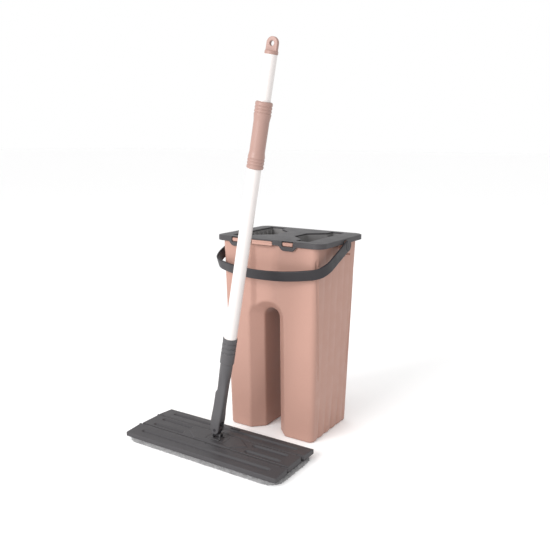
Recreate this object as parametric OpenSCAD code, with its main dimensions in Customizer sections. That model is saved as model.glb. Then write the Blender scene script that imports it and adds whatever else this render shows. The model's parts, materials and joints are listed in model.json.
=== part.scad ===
// Flat squeeze mop with its two-legged wash and wring bucket, in millimetres.
// The set stands on the floor with +Z up. The origin is the middle of its footprint.

/* [Bucket] */
// Width across both legs at the floor
base_w = 182; // [180:1:184]
// Depth of the legs at the floor
base_d = 138; // [136:1:142]
// Width under the rim
top_w = 201; // [200:1:202]
// Depth under the rim
top_d = 159; // [158:1:160]
// Height of the rim
rim_z = 369; // [350:1:390]
// Wall thickness
wall = 2.5; // [2:0.1:3]
// Corner radius of the bucket at the floor
bucket_r = 10; // [9:1:12]
// Width of the gap between the legs
gap_w = 32; // [28:1:36]
// Sideways place of the gap, from the middle of the bucket
gap_x = -5.5; // [-7:0.5:-3]
// Height of the arch between the legs
gap_h = 240; // [220:1:260]
// Depth of the channel above the arch
channel_depth = 6; // [3:1:8]
// Width of the channel above the arch
channel_w = 53; // [44:1:56]
// Chamfer round the gap's front and back edges
chamfer = 22; // [12:1:23]

/* [Lid] */
// Width of the lid
lid_w = 225; // [223:1:226]
// Depth of the lid
lid_d = 168; // [167:1:170]
// Thickness of the lid's top and skirt
lid_t = 3; // [2.4:0.2:3]
// Depth of the skirt below the rim
skirt_h = 7; // [6:1:8]
// Corner radius of the lid
lid_r = 18; // [16:1:24]
// Length of each mop slot
slot_l = 136; // [134:1:138]
// Width of the wash slot
wash_slot_w = 34; // [33:1:34]
// Width of the wringing slot
wring_slot_w = 26; // [25:1:26]
// Depth of the notch that lets the pole through
notch_d = 30; // [28:1:30]

/* [Bail] */
// Height of the bail's pivots
pivot_z = 359; // [350:1:359]
// Reach of the bail from its pivots to its outer face
bail_reach = 124; // [120:1:125]
// Height of the bail's strip
strip_h = 20; // [14:1:20]
// Thickness of the bail's strip
strip_t = 3.5; // [3:0.5:3.5]
// How far the bail droops below level when it rests on its stops
bail_droop = 23; // [15:0.5:30]

/* [Mop head] */
// Length of the mop plate
plate_l = 325; // [305:2:341]
// Width of the mop plate
plate_w = 125; // [120:1:126]
// Distance between the two hinge lines
hinge_gap = 50; // [48:1:52]
// Distance from the bucket's middle to the mop's middle
mop_out = 174; // [174:1:210]
// Thickness of the pad
pad_t = 7; // [6:1:8]
// How far the pad stands out round the plate
pad_over = 2; // [2:1:6]
// Corner radius of the pad
pad_r = 24; // [12:1:28]
// Length of the grooves in the plate
groove_l = 280; // [240:2:284]

/* [Pole] */
// Sideways tilt of the pole at rest
tilt = 10; // [0:1:20]
// Outer diameter of the lower tube
lower_d = 22; // [21.8:0.1:22]
// Outer diameter of the upper tube
upper_d = 19.8; // [19.4:0.1:20]
// Place of the bottom of the hand grip along the pole
grip_s = 468; // [400:2:480]
// Length of the hand grip
grip_l = 104; // [90:1:120]
// Place of the upper tube's top end along the pole
tube_top = 642; // [630:2:644]

/* [Hidden] */
$fn = 64;
fit = 0.05;

pink = [0.82, 0.65, 0.60];
dark = [0.33, 0.32, 0.33];
black = [0.22, 0.21, 0.23];
steel = [0.72, 0.73, 0.75];

// Places of the bucket and of the mop that centre the whole set on the origin
bucket_x = 44;
bucket_y = (mop_out + plate_w / 2 + pad_over - lid_d / 2) / 2;
mop_y = bucket_y - mop_out;

// Bucket
lean = atan((top_d - base_d) / 2 / rim_z);
arch_r = gap_w / 2;
channel_x = -8;
channel_top = rim_z - 17;
channel_low = gap_h - arch_r;
divider_top = rim_z - 45;
boss_r = 8;
boss_x = 113.5;
peg_r = 4;
pivot_y = 8;
bar_x = -9.5;
bar_w = 44;
bar_h = 9;
stop_r = 2;
stop_y = 16;
boss_root = 98;

// Lid
lid_top = rim_z + lid_t;
skirt_t = 2.4;
tab_drop = 15;
tab_x = 53.5;
tab_w = 37;
window_w = 22.5;
window_low = rim_z - 7.4;
window_h = 9;
wash_x = -66;
wring_x = 65;
notch_mouth = 100;
notch_end = 44;
tab_slope = 7;
screw_places = [[-91, 45], [-41, 68], [35.5, 68], [86, 68]];
screw_r = 1.5;
screw_head_r = 3;
screw_head_h = 2;
flange_z = rim_z - 10.5;
flange_t = 2.5;
frame_d = 150;
frame_r = 14;
wash_frame_x = [-95.5, wash_x + wash_slot_w / 2 + notch_d + 3];
wring_frame_x = [wring_x - wring_slot_w / 2 - notch_d - 3, 92];
pillar_r = 3.4;
frame_wall = 3;
wash_frame_low = rim_z - 29;
wring_frame_low = rim_z - 37;
comb_pitch = 15;
comb_w = 2;
comb_h = 3.5;
blade_l = 132;
blade_w = 3.5;
blade_t = 4;
tongue_l = 120;
tongue_t = 2;
seat_w = 10;
blade_z = rim_z - 22;
roller_r = 6;
roller_l = 12.4;
roller_y = 60.5;
roller_z = rim_z - 19;
roller_x = wring_x - wring_slot_w / 2 - 3.5;
axle_r = 1.5;

// Bail
bail_half = 117.5;
bail_r = 58;
bail_bow = 268;
bow_cut = 2;
eye_r = 10;
peg_in = 94;
peg_head = 3.3;

// Mop head
half_l = plate_l / 2;
hinge_y = hinge_gap / 2;
hinge_z = pad_t + 8.2;
barrel_r = 2.9;
barrel_gap = 0.5;
rod_r = 1.2;
knuckle_l = 12;
panel_knuckles = [
    [-half_l, knuckle_l - half_l],
    [-knuckle_l / 2, knuckle_l / 2],
    [half_l - knuckle_l, half_l]
];
flap_knuckles = [
    [knuckle_l - half_l + barrel_gap, -knuckle_l / 2 - barrel_gap],
    [knuckle_l / 2 + barrel_gap, half_l - knuckle_l - barrel_gap]
];
panel_top = pad_t + 11.4;
flap_top = pad_t + 8.6;
platform_top = panel_top + 1.2;
groove_w = 9;
groove_depth = 2.2;
groove_x = 68;
center_groove_y = 12;
flap_groove_y = 44;
tape_l = 280;
tape_t = 1;
center_tape = [4.5, 17.5];
flap_tape = [34.5, 53.5];
pocket_l = 26;
pocket_pitch = 30;
center_pockets = [2, 18];
flap_pockets = [32, 58];
platform = [[-64, 0], [-38, 20], [38, 20], [64, 0], [38, -20], [-38, -20]];
vent_x = [-8, 12];
vent_y = [50, 55];

// Yoke
base_half_x = 20;
base_half_y = 9.5;
base_low = pad_t + 9.6;
base_bore_z = pad_t + 5.5;
block_half = 4.2;
tilt_z = panel_top + 7.6;
fork_z = panel_top + 19.6;
ear_r = 5;
ear_x = 6;
ear_t = 3.2;
tilt_pin_r = 2;
fork_pin_r = 2.6;
fork_half = 9;
cheek_t = 3.5;
cheek_r = 8;
cheek_low = 5;
fork_gap_top = 16;
ridge_h = 3;
ridge_low = 18;
ridge_top = 75;
tube_pin_s = 137;
ring_low = 150;
ring_pitch = 8.5;
base_screw_x = 14;

// Pole, measured along its axis from the fork pin
body_w = 18;
body_d = 14;
body_r = 4;
fork_top = 19;
body_low = 49;
body_top = 82;
neck_top = 120;
neck_r = 11;
ridge_half = 6;
collar_low = 129;
collar_top = 176;
collar_r = 12.5;
spigot_top = 168;
tube_wall = 0.6;
lower_top = 557;
core_low = 175;
upper_low = 203;
core_r = 5.5;
lock_half = 4.3;
lock_head = 4;
cap_top = 668;
cap_r = 10;
cap_t = 6;
eye_hole_r = 4;
grip_end_r = 13.75;
grip_waist_r = 12.5;
ring_step = 5;

// ---------------------------------------------------------------- shared shapes

module at_bucket() {
    translate([bucket_x, bucket_y, 0]) children();
}

module at_mop() {
    translate([0, mop_y, 0]) children();
}

module along_pole() {
    at_mop() translate([0, 0, fork_z]) rotate([0, tilt, 0]) children();
}

module rounded_rect(w, d, r) {
    square([w - 2 * r, d], center = true);
    square([w, d - 2 * r], center = true);
    for (sx = [-1, 1], sy = [-1, 1])
        translate([sx * (w / 2 - r), sy * (d / 2 - r)]) circle(r);
}

// A slab between two heights
module slab(z0, z1) {
    translate([0, 0, z0]) linear_extrude(z1 - z0) children();
}

// A box given by its lowest and highest corners
module span(low, high) {
    translate(low) cube(high - low);
}

// A cylinder along X between two places
module rod_x(x0, x1, r) {
    translate([x0, 0, 0]) rotate([0, 90, 0]) cylinder(h = x1 - x0, r = r);
}

// A cylinder along Y between two places
module rod_y(y0, y1, r) {
    translate([0, y1, 0]) rotate([90, 0, 0]) cylinder(h = y1 - y0, r = r);
}

// A cylinder along Z between two places
module rod_z(z0, z1, r) {
    translate([0, 0, z0]) cylinder(h = z1 - z0, r = r);
}

// ---------------------------------------------------------------- bucket

// The tapered body, made smaller all round by inset
module bucket_taper(inset, z0, z1) {
    w = base_w - 2 * inset;
    d = base_d - 2 * inset;
    translate([0, 0, z0])
        linear_extrude(z1 - z0, slices = 1, scale = [(top_w - 2 * inset) / w, (top_d - 2 * inset) / d])
            rounded_rect(w, d, bucket_r - inset);
}

// The gap between the legs with its round arch, made larger all round by grow
module leg_gap(grow) {
    rotate([90, 0, 0]) linear_extrude(top_d + 20, center = true) translate([gap_x, 0]) {
        translate([0, gap_h - arch_r]) circle(arch_r + grow);
        translate([-arch_r - grow, -1]) square([gap_w + 2 * grow, gap_h - arch_r + 1]);
    }
}

// Runs its children on the front and back walls, following their lean
module on_walls(x) {
    for (side = [0, 1]) mirror([0, side, 0])
        translate([x, -base_d / 2, 0]) rotate([lean, 0, 0]) children();
}

// The chamfer round the gap's front and back edges, made larger all round by grow
module gap_chamfer(grow) {
    size = chamfer + grow * sqrt(2);
    outer = arch_r + size + 1;
    inner = arch_r - 1;
    on_walls(gap_x) {
        translate([0, -1, gap_h - arch_r]) rotate([-90, 0, 0])
            cylinder(h = size + 2, r1 = outer, r2 = inner);
        slab(-5, gap_h - arch_r)
            polygon([[-outer, -1], [outer, -1], [inner, size + 1], [-inner, size + 1]]);
    }
}

// The channels above the arch, made larger all round by grow
module channels(grow) {
    on_walls(channel_x)
        span([-channel_w / 2 - grow, -10, channel_low - grow],
             [channel_w / 2 + grow, channel_depth + grow, channel_top + grow]);
}

module bucket_cavity() {
    difference() {
        bucket_taper(wall, wall, rim_z + 1);
        leg_gap(wall);
        gap_chamfer(wall);
        channels(wall);
        span([gap_x - wall / 2, -top_d, gap_h - wall], [gap_x + wall / 2, top_d, divider_top]);
    }
}

module bail_stop(side) {
    translate([0, pivot_y, pivot_z]) rotate([side * bail_droop, 0, 0])
        translate([0, -side * stop_y, -strip_h / 2 - stop_r - 0.3])
            rod_x(boss_root + 1, bail_half - 1, stop_r);
}

module bucket_shell() {
    color(pink) at_bucket() difference() {
        union() {
            bucket_taper(0, 0, rim_z);
            span([bar_x - bar_w / 2, -lid_d / 2, rim_z - bar_h],
                 [bar_x + bar_w / 2, -top_d / 2 + 2, rim_z]);
            for (m = [0, 1]) mirror([m, 0, 0]) {
                translate([0, pivot_y, pivot_z]) rod_x(boss_root, boss_x, boss_r);
                bail_stop(1);
                bail_stop(-1);
            }
        }
        leg_gap(0);
        gap_chamfer(0);
        channels(0);
        bucket_cavity();
        translate([0, pivot_y, pivot_z]) rod_x(-120, 120, peg_r + fit);
    }
}

// ---------------------------------------------------------------- lid

// A mop slot with its pole notch towards the middle of the bucket
module slot_outline(w, grow) {
    half = w / 2 + grow;
    square([2 * half, slot_l + 2 * grow], center = true);
    polygon([
        [-w / 2 - notch_d - grow, -notch_end / 2 - grow],
        [-w / 2 + 1, -notch_mouth / 2 - grow],
        [-w / 2 + 1, notch_mouth / 2 + grow],
        [-w / 2 - notch_d - grow, notch_end / 2 + grow]
    ]);
}

module wash_outline(grow) {
    translate([wash_x, 0]) mirror([1, 0]) slot_outline(wash_slot_w, grow);
}

module wring_outline(grow) {
    translate([wring_x, 0]) slot_outline(wring_slot_w, grow);
}

// Runs its children at the four screws of each frame
module at_screws() {
    for (p = screw_places, m = [0, 1]) mirror([0, m, 0]) translate([p[0], p[1], 0]) children();
}

// One snap tab below the skirt, with the window that its catch sits in
module tab_outline() {
    drop = tab_drop;
    polygon([
        [-tab_w / 2, rim_z], [-tab_w / 2, rim_z - skirt_h], [-tab_w / 2 + tab_slope, rim_z - drop],
        [tab_w / 2 - tab_slope, rim_z - drop], [tab_w / 2, rim_z - skirt_h], [tab_w / 2, rim_z]
    ]);
}

module lid_front() {
    for (s = [-1, 1]) translate([bar_x + s * tab_x, -lid_d / 2 + skirt_t, 0])
        rotate([90, 0, 0]) linear_extrude(skirt_t) tab_outline();
}

module lid_front_cuts() {
    for (s = [-1, 1]) translate([bar_x + s * tab_x, -lid_d / 2, window_low])
        span([-window_w / 2, -1, 0], [window_w / 2, skirt_t + 0.2, window_h]);
}

module lid_cover() {
    color(dark) at_bucket() difference() {
        union() {
            slab(rim_z, lid_top) rounded_rect(lid_w, lid_d, lid_r);
            slab(rim_z - skirt_h, rim_z) difference() {
                rounded_rect(lid_w, lid_d, lid_r);
                rounded_rect(lid_w - 2 * skirt_t, lid_d - 2 * skirt_t, lid_r - skirt_t);
            }
            for (m = [0, 1]) mirror([0, m, 0]) lid_front();
            at_screws() rod_z(flange_z + flange_t, rim_z + 1, pillar_r);
        }
        for (m = [0, 1]) mirror([0, m, 0]) lid_front_cuts();
        span([bar_x - bar_w / 2 - 0.5, -lid_d / 2 - 1, rim_z - skirt_h - 1],
             [bar_x + bar_w / 2 + 0.5, -lid_d / 2 + skirt_t + 1, rim_z]);
        for (m = [0, 1]) mirror([m, 0, 0])
            span([lid_w / 2 - 5, pivot_y - boss_r - 1, rim_z - skirt_h - 1],
                 [lid_w / 2 + 1, pivot_y + boss_r + 1, pivot_z + boss_r + 0.8]);
        slab(rim_z - 1, lid_top + 1) wash_outline(0);
        slab(rim_z - 1, lid_top + 1) wring_outline(0);
        at_screws() rod_z(flange_z, rim_z - 2, screw_r + fit);
    }
}

// The outline of one frame between two places along X
module frame_outline(x) {
    translate([(x[0] + x[1]) / 2, 0]) rounded_rect(x[1] - x[0], frame_d, frame_r);
}

// A frame under the lid: walls round the slot and a flange for the screws
module slot_frame(low) {
    difference() {
        union() {
            slab(low, rim_z) intersection() {
                children(1);
                children(0);
            }
            slab(flange_z, flange_z + flange_t) children(0);
        }
        slab(low - 1, rim_z + 1) children(2);
        at_screws() rod_z(flange_z - 1, flange_z + flange_t + 1, screw_r + 0.2);
        at_screws() rod_z(flange_z + flange_t, rim_z + 1, pillar_r + 0.4);
    }
}

module wash_frame() {
    color(dark) at_bucket() difference() {
        union() {
            slot_frame(wash_frame_low) {
                frame_outline(wash_frame_x);
                wash_outline(frame_wall);
                wash_outline(0);
            }
            for (i = [-4:4]) translate([wash_x - wash_slot_w / 2, i * comb_pitch, 0])
                span([-1, -comb_w / 2, wash_frame_low], [comb_h, comb_w / 2, rim_z - 3]);
        }
        translate([0, pivot_y, 0])
            span([-bail_half, -boss_r, flange_z - 1], [-peg_in + 1.5, boss_r, rim_z + 1]);
    }
}

// The block that carries one guide roller
module roller_seat() {
    span([wring_x - wring_slot_w / 2 - seat_w, notch_mouth / 2 + 0.5, wring_frame_low],
         [wring_x - wring_slot_w / 2, slot_l / 2 + frame_wall, flange_z + 1]);
}

module roller_cuts() {
    translate([roller_x, roller_y, roller_z])
        span([-roller_r - 1, -roller_l / 2 - 0.4, -roller_r - 1],
             [roller_r + 1, roller_l / 2 + 0.4, roller_r + 1]);
    translate([roller_x, 0, roller_z]) rod_y(40, 90, axle_r + 0.01);
}

module wring_frame() {
    color(dark) at_bucket() difference() {
        union() {
            slot_frame(wring_frame_low) {
                frame_outline(wring_frame_x);
                wring_outline(frame_wall);
                wring_outline(0);
            }
            for (m = [0, 1]) mirror([0, m, 0]) roller_seat();
        }
        for (m = [0, 1]) mirror([0, m, 0]) roller_cuts();
        translate([wring_x + wring_slot_w / 2, 0, blade_z])
            span([-1, -tongue_l / 2, -tongue_t / 2], [frame_wall + 1, tongue_l / 2, tongue_t / 2]);
    }
}

// The bar that the rubber lip sits on, with a tongue through the frame's wall
module scraper_blade() {
    color("gainsboro") at_bucket() translate([wring_x + wring_slot_w / 2, 0, blade_z]) {
        span([-blade_w, -blade_l / 2, -blade_t / 2], [0, blade_l / 2, blade_t / 2]);
        span([-1, -tongue_l / 2, -tongue_t / 2], [frame_wall, tongue_l / 2, tongue_t / 2]);
    }
}

module scraper_lip() {
    color(black) at_bucket() translate([wring_x + wring_slot_w / 2 - blade_w, 0, blade_z])
        difference() {
            rod_y(-blade_l / 2, blade_l / 2, blade_t / 2);
            span([0, -blade_l, -blade_t], [blade_w, blade_l, blade_t]);
        }
}

module guide_roller(side) {
    color("gainsboro") at_bucket() translate([roller_x, side * roller_y, roller_z])
        difference() {
            rod_y(-roller_l / 2, roller_l / 2, roller_r);
            rod_y(-roller_l, roller_l, axle_r + 0.08);
        }
}

module guide_roller_front() {
    guide_roller(-1);
}

module guide_roller_back() {
    guide_roller(1);
}

module roller_axles() {
    color(steel) at_bucket() translate([roller_x, 0, roller_z])
        for (m = [0, 1]) mirror([0, m, 0])
            rod_y(notch_mouth / 2 + 1, slot_l / 2 + frame_wall - 0.5, axle_r);
}

module frame_screws() {
    color(steel) at_bucket() at_screws() {
        rod_z(flange_z - screw_head_h, flange_z, screw_head_r);
        rod_z(flange_z - 1, rim_z - 3, screw_r);
    }
}

// ---------------------------------------------------------------- bail

// The space inside the bail's outline, with its bowed front, made smaller all round by inset
module bail_space(inset, h) {
    half = bail_half - inset;
    reach = bail_reach + bow_cut - inset;
    r = bail_r - inset;
    intersection() {
        linear_extrude(h, center = true) {
            translate([-half, r - reach]) square([2 * half, reach - r]);
            translate([r - half, -reach]) square([2 * (half - r), reach]);
            for (s = [-1, 1]) translate([s * (half - r), r - reach]) circle(r);
        }
        translate([0, bail_bow - bail_reach, 0]) rod_z(-h, h, bail_bow - inset);
    }
}

module bail_handle() {
    color(black) at_bucket() translate([0, pivot_y, pivot_z]) rotate([bail_droop, 0, 0]) {
        difference() {
            bail_space(0, strip_h);
            bail_space(strip_t, strip_h + 2);
            span([strip_t - bail_half, -1, -strip_h], [bail_half - strip_t, bail_r, strip_h]);
        }
        for (m = [0, 1]) mirror([m, 0, 0]) {
            rod_x(bail_half - strip_t, bail_half, eye_r);
            rod_x(peg_in + 1, bail_half - 1, peg_r);
            rod_x(peg_in, peg_in + peg_head, peg_r + 1.4);
        }
    }
}

// ---------------------------------------------------------------- mop head

// Barrels of one panel's hinge, with the webs that join them to the panel's edge
module barrels(places, edge) {
    for (x = places) {
        translate([0, hinge_y, hinge_z]) rod_x(x[0], x[1], barrel_r);
        span([x[0], min(edge, hinge_y), pad_t], [x[1], max(edge, hinge_y), hinge_z + barrel_r]);
    }
}

// A long groove with round ends, cut from above
module groove(x0, x1, y, z) {
    translate([0, y, z]) {
        span([x0 + groove_w / 2, -groove_w / 2, 0], [x1 - groove_w / 2, groove_w / 2, 9]);
        for (x = [x0 + groove_w / 2, x1 - groove_w / 2])
            translate([x, 0, 0]) cylinder(h = 9, r = groove_w / 2);
    }
}

module hinge_bore() {
    translate([0, hinge_y, hinge_z]) rod_x(-half_l - 5, half_l + 5, rod_r + fit);
}

// Hollows under a panel, which leave ribs between them
module pockets(y, z1, from) {
    for (s = [-1, 1], i = [0:3])
        translate([s * (from + (i + 0.5) * pocket_pitch), 0, 0])
            span([-pocket_l / 2, y[0], pad_t - 1], [pocket_l / 2, y[1], z1]);
}

// A shallow seat under a panel for one strip of hook tape
module tape_seat(y) {
    span([-tape_l / 2 - 2, y[0] - 0.5, pad_t - 1], [tape_l / 2 + 2, y[1] + 0.5, pad_t + tape_t]);
}

module center_panel() {
    edge = hinge_y - barrel_r - barrel_gap;
    color(dark) at_mop() difference() {
        union() {
            span([-half_l + 1.5, -edge, pad_t], [half_l - 1.5, edge, panel_top]);
            for (m = [0, 1]) mirror([0, m, 0]) barrels(panel_knuckles, edge - 1);
            slab(panel_top - 1, platform_top) polygon(platform);
        }
        for (m = [0, 1]) mirror([0, m, 0]) {
            hinge_bore();
            for (s = [0, 1]) mirror([s, 0, 0])
                groove(groove_x, groove_l / 2, center_groove_y, panel_top - groove_depth);
            pockets(center_pockets, panel_top - groove_depth - 2, 34);
            tape_seat(center_tape);
        }
        span([-base_half_x, -base_half_y, base_low], [base_half_x, base_half_y, platform_top + 1]);
        for (s = [-1, 1]) translate([s * base_screw_x, 0, 0]) {
            rod_z(pad_t - 1, pad_t + 3, screw_head_r + 0.4);
            rod_z(pad_t, platform_top, screw_r + 0.2);
            rod_z(base_bore_z, platform_top, pillar_r + 0.3);
        }
    }
}

module flap() {
    edge = hinge_y + barrel_r + barrel_gap;
    outer = plate_w / 2;
    difference() {
        union() {
            rotate([90, 0, 90]) linear_extrude(plate_l, center = true) polygon([
                [edge, pad_t], [outer - 1, pad_t], [outer, pad_t + 1],
                [outer, flap_top - 1.2], [outer - 1.2, flap_top], [edge, hinge_z + barrel_r]
            ]);
            barrels(flap_knuckles, edge + 1);
        }
        hinge_bore();
        groove(-groove_l / 2, groove_l / 2, flap_groove_y, flap_top - groove_depth + 1);
        pockets(flap_pockets, flap_top - groove_depth - 1, 4);
        tape_seat(flap_tape);
    }
}

module front_flap() {
    color(dark) at_mop() mirror([0, 1, 0]) flap();
}

module back_flap() {
    color(dark) at_mop() difference() {
        flap();
        span([vent_x[0], vent_y[0], pad_t - 1], [vent_x[1], vent_y[1], platform_top]);
    }
}

module hinge_rod() {
    translate([0, hinge_y, hinge_z]) {
        rod_x(-half_l - 1, half_l - 1, rod_r);
        rod_x(-half_l - 2, -half_l - 0.2, rod_r + 1.4);
    }
}

module hinge_rod_front() {
    color(dark) at_mop() mirror([0, 1, 0]) hinge_rod();
}

module hinge_rod_back() {
    color(dark) at_mop() hinge_rod();
}

module tape(y) {
    span([-tape_l / 2, y[0], pad_t], [tape_l / 2, y[1], pad_t + tape_t]);
}

module hook_strips_center() {
    color(black) at_mop() for (m = [0, 1]) mirror([0, m, 0]) tape(center_tape);
}

module hook_strip_front() {
    color(black) at_mop() mirror([0, 1, 0]) tape(flap_tape);
}

module hook_strip_back() {
    color(black) at_mop() difference() {
        tape(flap_tape);
        span([vent_x[0] - 1, vent_y[0] - 0.5, pad_t - 1], [vent_x[1] + 1, plate_w, platform_top]);
    }
}

module pad_center() {
    color([0.62, 0.62, 0.63]) at_mop()
        span([-half_l - pad_over, -hinge_y + 0.2, 0], [half_l + pad_over, hinge_y - 0.2, pad_t]);
}

module pad_side() {
    l = plate_l + 2 * pad_over;
    w = plate_w + 2 * pad_over;
    intersection() {
        slab(0, pad_t) rounded_rect(l, w, pad_r);
        span([-l, hinge_y + 0.2, -1], [l, w, pad_t + 1]);
    }
}

module pad_front() {
    color([0.62, 0.62, 0.63]) at_mop() mirror([0, 1, 0]) pad_side();
}

module pad_back() {
    color([0.62, 0.62, 0.63]) at_mop() pad_side();
}

// ---------------------------------------------------------------- yoke

module joint_base() {
    color(dark) at_mop() difference() {
        union() {
            span([-base_half_x, -base_half_y, base_low], [base_half_x, base_half_y, platform_top]);
            span([-ear_x - ear_t, -base_half_y, base_low],
                 [ear_x + ear_t, base_half_y, platform_top + 1.6]);
            for (s = [-1, 1]) {
                translate([s * (ear_x + ear_t / 2), 0, tilt_z]) rod_x(-ear_t / 2, ear_t / 2, ear_r);
                translate([s * (ear_x + ear_t / 2), 0, 0])
                    span([-ear_t / 2, -ear_r, base_low], [ear_t / 2, ear_r, tilt_z]);
                translate([s * base_screw_x, 0, 0]) rod_z(base_bore_z, base_low + 1, pillar_r);
            }
        }
        translate([0, 0, tilt_z]) rod_x(-20, 20, tilt_pin_r + 0.01);
        for (s = [-1, 1]) translate([s * base_screw_x, 0, 0]) rod_z(0, platform_top - 1, screw_r + fit);
        translate([0, 0, tilt_z]) rod_x(-ear_x, ear_x, ear_r + 0.4);
    }
}

module base_screws() {
    color(steel) at_mop() for (s = [-1, 1]) translate([s * base_screw_x, 0, 0]) {
        rod_z(pad_t + 1, pad_t + 3, screw_head_r);
        rod_z(pad_t + 2, platform_top - 2, screw_r);
    }
}

module tilt_pin() {
    color(steel) at_mop() translate([0, 0, tilt_z])
        rod_x(-ear_x - ear_t, ear_x + ear_t, tilt_pin_r);
}

module cross_block() {
    half = fork_half - cheek_t - 0.3;
    color(black) at_mop() difference() {
        union() {
            translate([0, 0, fork_z]) rod_y(-half, half, cheek_r - 0.5);
            span([-ear_x + 0.2, -block_half, tilt_z], [ear_x - 0.2, block_half, fork_z]);
            translate([0, 0, tilt_z]) rod_x(-ear_x + 0.2, ear_x - 0.2, block_half);
        }
        translate([0, 0, tilt_z]) rod_x(-20, 20, tilt_pin_r + fit);
        translate([0, 0, fork_z]) rod_y(-20, 20, fork_pin_r + fit);
    }
}

module fork_pin() {
    color(steel) at_mop() translate([0, 0, fork_z])
        rod_y(-fork_half - 0.6, fork_half + 0.6, fork_pin_r);
}

module pole_socket() {
    color(dark) along_pole() difference() {
        union() {
            rod_y(-fork_half, fork_half, cheek_r);
            span([-cheek_r, -fork_half, 0], [cheek_r, fork_half, fork_top]);
            span([-body_w / 2 - ridge_h, -fork_half, cheek_low], [0, fork_half, fork_top]);
            hull() {
                slab(fork_top - 1, fork_top + 1) rounded_rect(body_w, 2 * fork_half, body_r, $fn = 32);
                slab(body_low - 1, body_low + 1) rounded_rect(body_w, body_d, body_r, $fn = 32);
            }
            slab(body_low, body_top) rounded_rect(body_w, body_d, body_r);
            hull() {
                slab(body_top - 1, body_top + 1) rounded_rect(body_w, body_d, body_r, $fn = 32);
                rod_z(neck_top - 1, neck_top + 1, neck_r, $fn = 32);
            }
            rod_z(neck_top, collar_low, neck_r);
            rod_z(collar_low - 1, spigot_top, lower_d / 2 - tube_wall - 0.1);
            span([-body_w / 2 - ridge_h, -ridge_half, ridge_low], [0, ridge_half, ridge_top]);
            translate([-body_w / 2, 0, ridge_top]) rod_y(-ridge_half, ridge_half, ridge_h);
        }
        span([-20, -fork_half + cheek_t, -20], [20, fork_half - cheek_t, fork_gap_top]);
        rod_y(-20, 20, fork_pin_r + 0.01);
        translate([0, 0, tube_pin_s]) rod_y(-20, 20, axle_r + 0.01);
    }
}

// Two or three shallow rings cut round the pole at the given places
module ring_cuts(places, r, depth) {
    for (s = places) translate([0, 0, s])
        rotate_extrude() translate([r, 0]) circle(depth, $fn = 16);
}

module socket_collar() {
    color(dark) along_pole() difference() {
        rod_z(collar_low, collar_top, collar_r);
        rod_z(collar_low - 1, collar_top + 1, lower_d / 2 + fit);
        ring_cuts([for (i = [0:2]) ring_low + i * ring_pitch], collar_r, 0.8);
    }
}

module tube_pin() {
    color(steel) along_pole() translate([0, 0, tube_pin_s])
        rod_y(-lower_d / 2 + 0.2, lower_d / 2 - 0.2, axle_r);
}

module lower_tube() {
    color("white") along_pole() difference() {
        rod_z(collar_low + 0.5, lower_top, lower_d / 2);
        rod_z(collar_low, lower_top + 1, lower_d / 2 - tube_wall);
        translate([0, 0, tube_pin_s]) rod_y(-20, 20, axle_r + 0.01);
    }
}

module hand_grip() {
    top = grip_s + grip_l;
    bore = upper_d / 2 + 0.3;
    color(pink) along_pole() difference() {
        rotate_extrude() polygon([
            [bore, grip_s], [grip_end_r - 1, grip_s], [grip_end_r, grip_s + 1.5],
            [grip_end_r, grip_s + 18], [grip_waist_r, grip_s + 26], [grip_waist_r, top - 30],
            [grip_end_r, top - 20], [grip_end_r, top - 2], [grip_end_r - 1.5, top], [bore, top]
        ]);
        rod_z(grip_s - 1, lower_top, lower_d / 2 + fit);
        ring_cuts([for (i = [0:2]) grip_s + 6 + i * ring_step], grip_end_r, 0.7);
        ring_cuts([for (i = [0:2]) top - 7 - i * ring_step], grip_end_r, 0.7);
    }
}

// ---------------------------------------------------------------- telescoping pole

module lock_bush() {
    color(black) along_pole() difference() {
        rod_z(core_low + lock_half, upper_low - lock_half, lower_d / 2 - tube_wall - 0.15);
        rod_z(core_low, upper_low, core_r + 0.1);
        span([0, -1.25, core_low], [20, 1.25, upper_low]);
    }
}

module lock_core() {
    color("gainsboro") along_pole() difference() {
        union() {
            rod_z(core_low + lock_head, upper_low, core_r);
            rod_z(upper_low - lock_head, upper_low, upper_d / 2);
            rod_z(upper_low - 1, upper_low + 25, upper_d / 2 - tube_wall - fit);
        }
        rod_z(core_low, upper_low - 8, screw_r + fit);
    }
}

module core_screw() {
    color(steel) along_pole() {
        rod_z(core_low + lock_head - 2, core_low + lock_head, 8);
        rod_z(core_low + 3, upper_low - 10, screw_r);
    }
}

module upper_tube() {
    color("white") along_pole() difference() {
        rod_z(upper_low, tube_top, upper_d / 2);
        rod_z(upper_low - 1, tube_top + 1, upper_d / 2 - tube_wall);
    }
}

module hanging_cap() {
    eye_s = cap_top - cap_r;
    color(pink) along_pole() difference() {
        union() {
            rod_z(tube_top - 20, tube_top + 1, upper_d / 2 - tube_wall - fit);
            rod_z(tube_top, tube_top + 5, upper_d / 2 + 0.6);
            translate([0, 0, eye_s]) rod_y(-cap_t / 2, cap_t / 2, cap_r);
            span([-cap_r, -cap_t / 2, tube_top + 4], [cap_r, cap_t / 2, eye_s]);
        }
        translate([0, 0, eye_s]) rod_y(-20, 20, eye_hole_r);
    }
}

bucket_shell();
lid_cover();
wash_frame();
wring_frame();
scraper_blade();
scraper_lip();
guide_roller_front();
guide_roller_back();
roller_axles();
frame_screws();
bail_handle();
center_panel();
front_flap();
back_flap();
hinge_rod_front();
hinge_rod_back();
hook_strips_center();
hook_strip_front();
hook_strip_back();
pad_center();
pad_front();
pad_back();
joint_base();
base_screws();
tilt_pin();
cross_block();
fork_pin();
pole_socket();
socket_collar();
tube_pin();
lower_tube();
hand_grip();
lock_bush();
lock_core();
core_screw();
upper_tube();
hanging_cap();
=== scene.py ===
import json
import math

import bpy
import numpy as np
from mathutils import Matrix, Vector


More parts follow.
